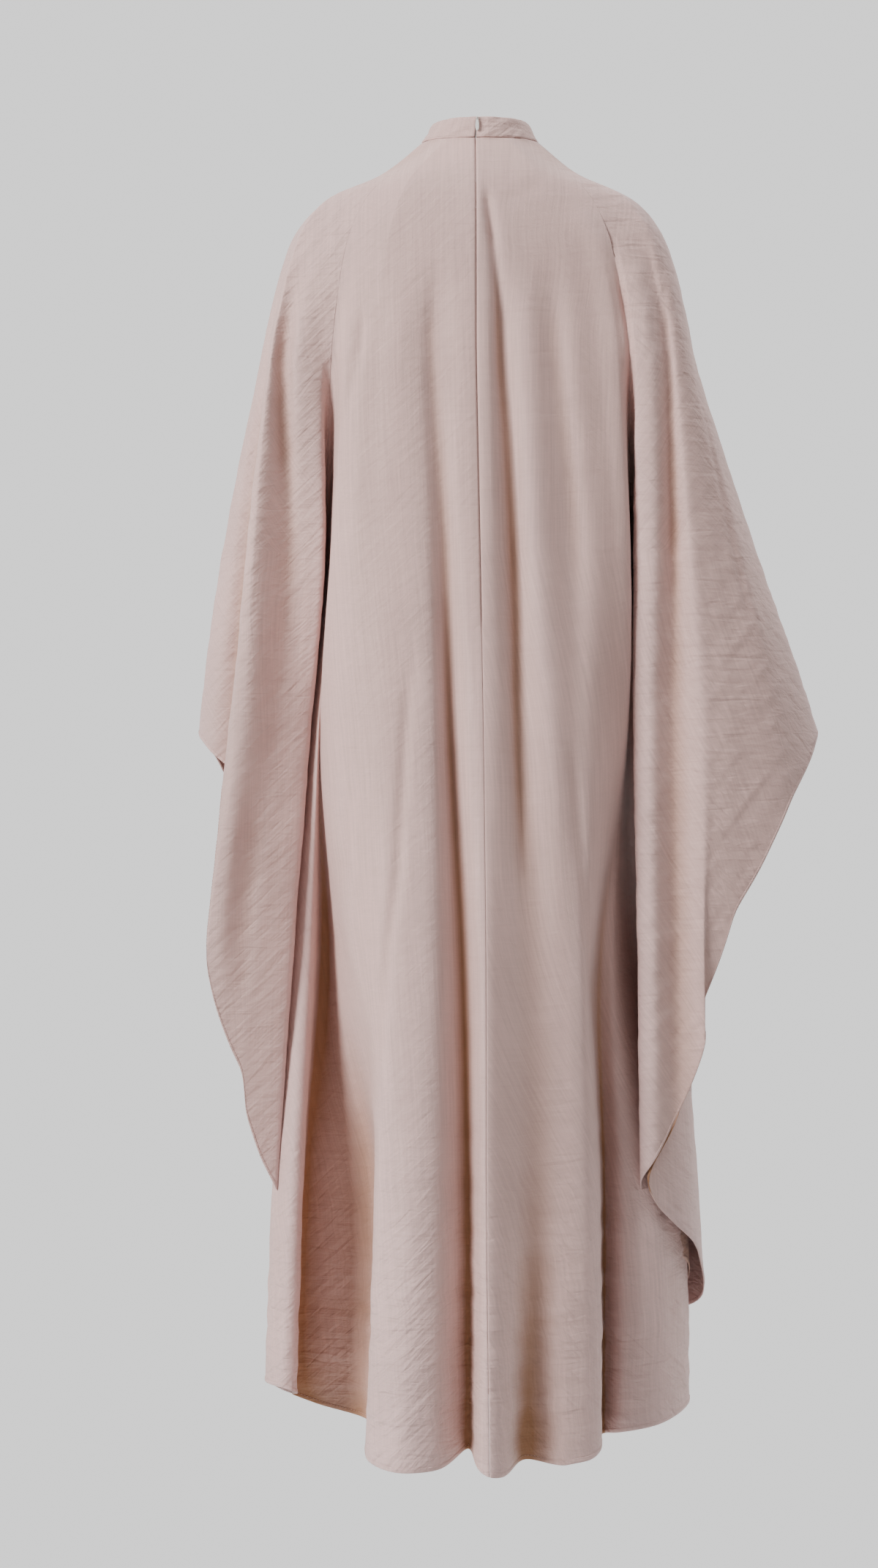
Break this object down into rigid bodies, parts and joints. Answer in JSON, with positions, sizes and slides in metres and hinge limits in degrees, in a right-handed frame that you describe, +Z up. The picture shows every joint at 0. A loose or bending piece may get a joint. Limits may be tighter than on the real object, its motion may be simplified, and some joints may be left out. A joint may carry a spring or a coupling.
{
  "type": "kaftan",
  "caption": "Long batwing kaftan with a stand collar, wide asymmetric sleeves and a centre-back invisible zip, filled out as worn.",
  "frame": {"origin": "middle of the neck opening at the height of the centre-back neck seam, where the wearer's neck and shoulders hold the garment", "axes": "+Z up, -Y towards the wearer's back, +X towards the wearer's right"},
  "size_m": [0.6983, 0.4434, 1.4714],
  "materials": {
    "cloth": "plain-woven viscose with fine slubs, a soft low sheen, dusty pink",
    "zip_tape": "woven polyester tape, matt",
    "zip_metal": "light grey lacquered zinc"
  },
  "bodies": {
    "garment": {"back_left": "cloth", "back_right": "cloth", "front": "cloth", "collar": "cloth", "zip_tape_left": "zip_tape", "zip_tape_right": "zip_tape", "zip_slider": "zip_metal"},
    "pull_tab": {"zip_pull": "zip_metal"}
  },
  "joints": [
    {"name": "tab_hinge", "type": "hinge", "parent": "garment", "child": "pull_tab", "pos_m": [-0.00177, -0.05845, 0.02263], "axis": [-1, 0, 0], "range_deg": [0, 165]}
  ]
}
